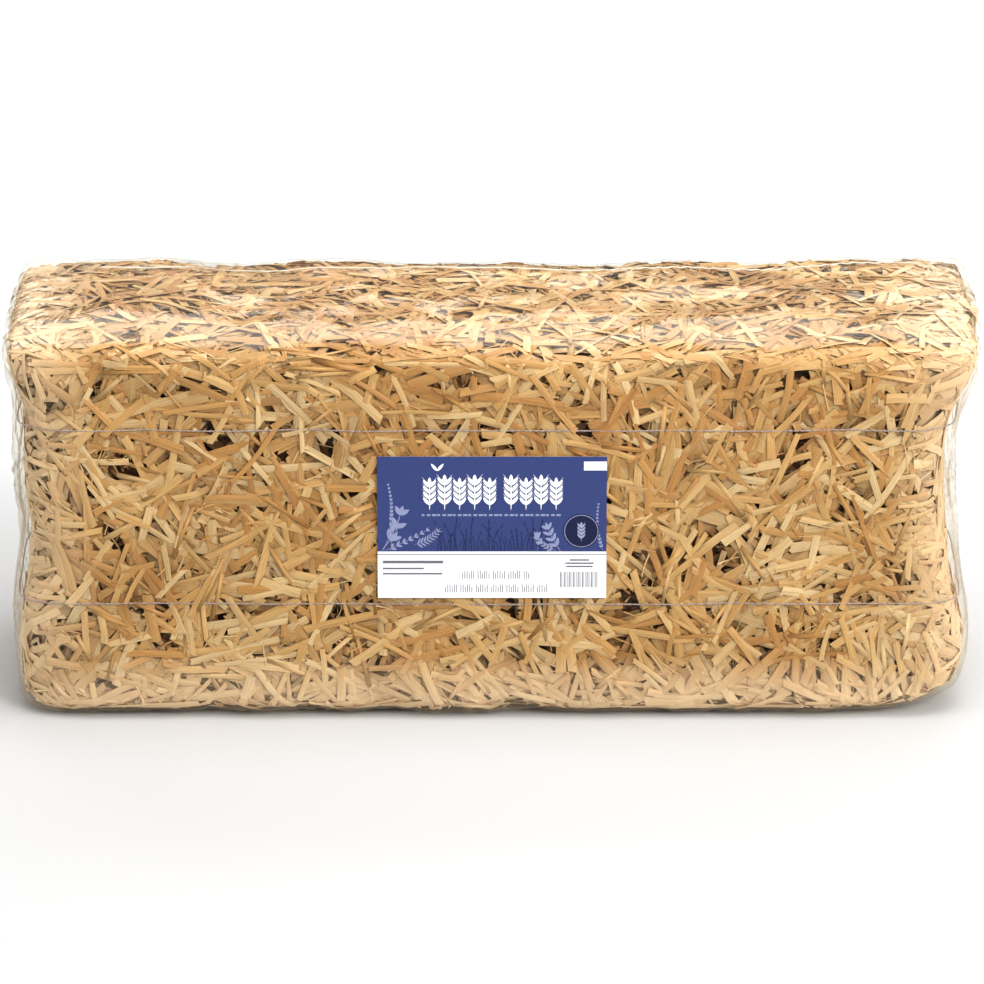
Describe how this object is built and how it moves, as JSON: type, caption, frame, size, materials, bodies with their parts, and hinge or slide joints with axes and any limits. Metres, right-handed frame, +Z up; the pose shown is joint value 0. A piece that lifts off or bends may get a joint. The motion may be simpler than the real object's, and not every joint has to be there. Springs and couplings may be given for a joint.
{
  "type": "square straw bale",
  "caption": "Block of pressed barley straw in upright flakes, held by two lengthwise ties, shrunk in clear film, with a plain paper label on the front.",
  "frame": {"origin": "middle of the underside, in the plane that the bale rests on", "axes": "+X along the bale, +Y from the labelled front to the back, +Z up"},
  "size_m": [0.7587, 0.2416, 0.304],
  "materials": {
    "straw": "dry barley straw, satin on the stems and matt on the chaff",
    "twine": "twisted polypropylene baling twine, slightly waxy",
    "film": "clear shrink film, glossy where taut and milky where gathered",
    "label": "coated paper, printed, semi-gloss"
  },
  "bodies": {
    "root": {"straw_flake_1": "straw", "straw_flake_2": "straw", "straw_flake_3": "straw", "straw_flake_4": "straw", "straw_flake_5": "straw", "straw_flake_6": "straw", "straw_flake_7": "straw", "straw_flake_8": "straw", "straw_flake_9": "straw", "tie_upper": "twine", "tie_lower": "twine", "film_wrap": "film", "label": "label"}
  },
  "joints": []
}
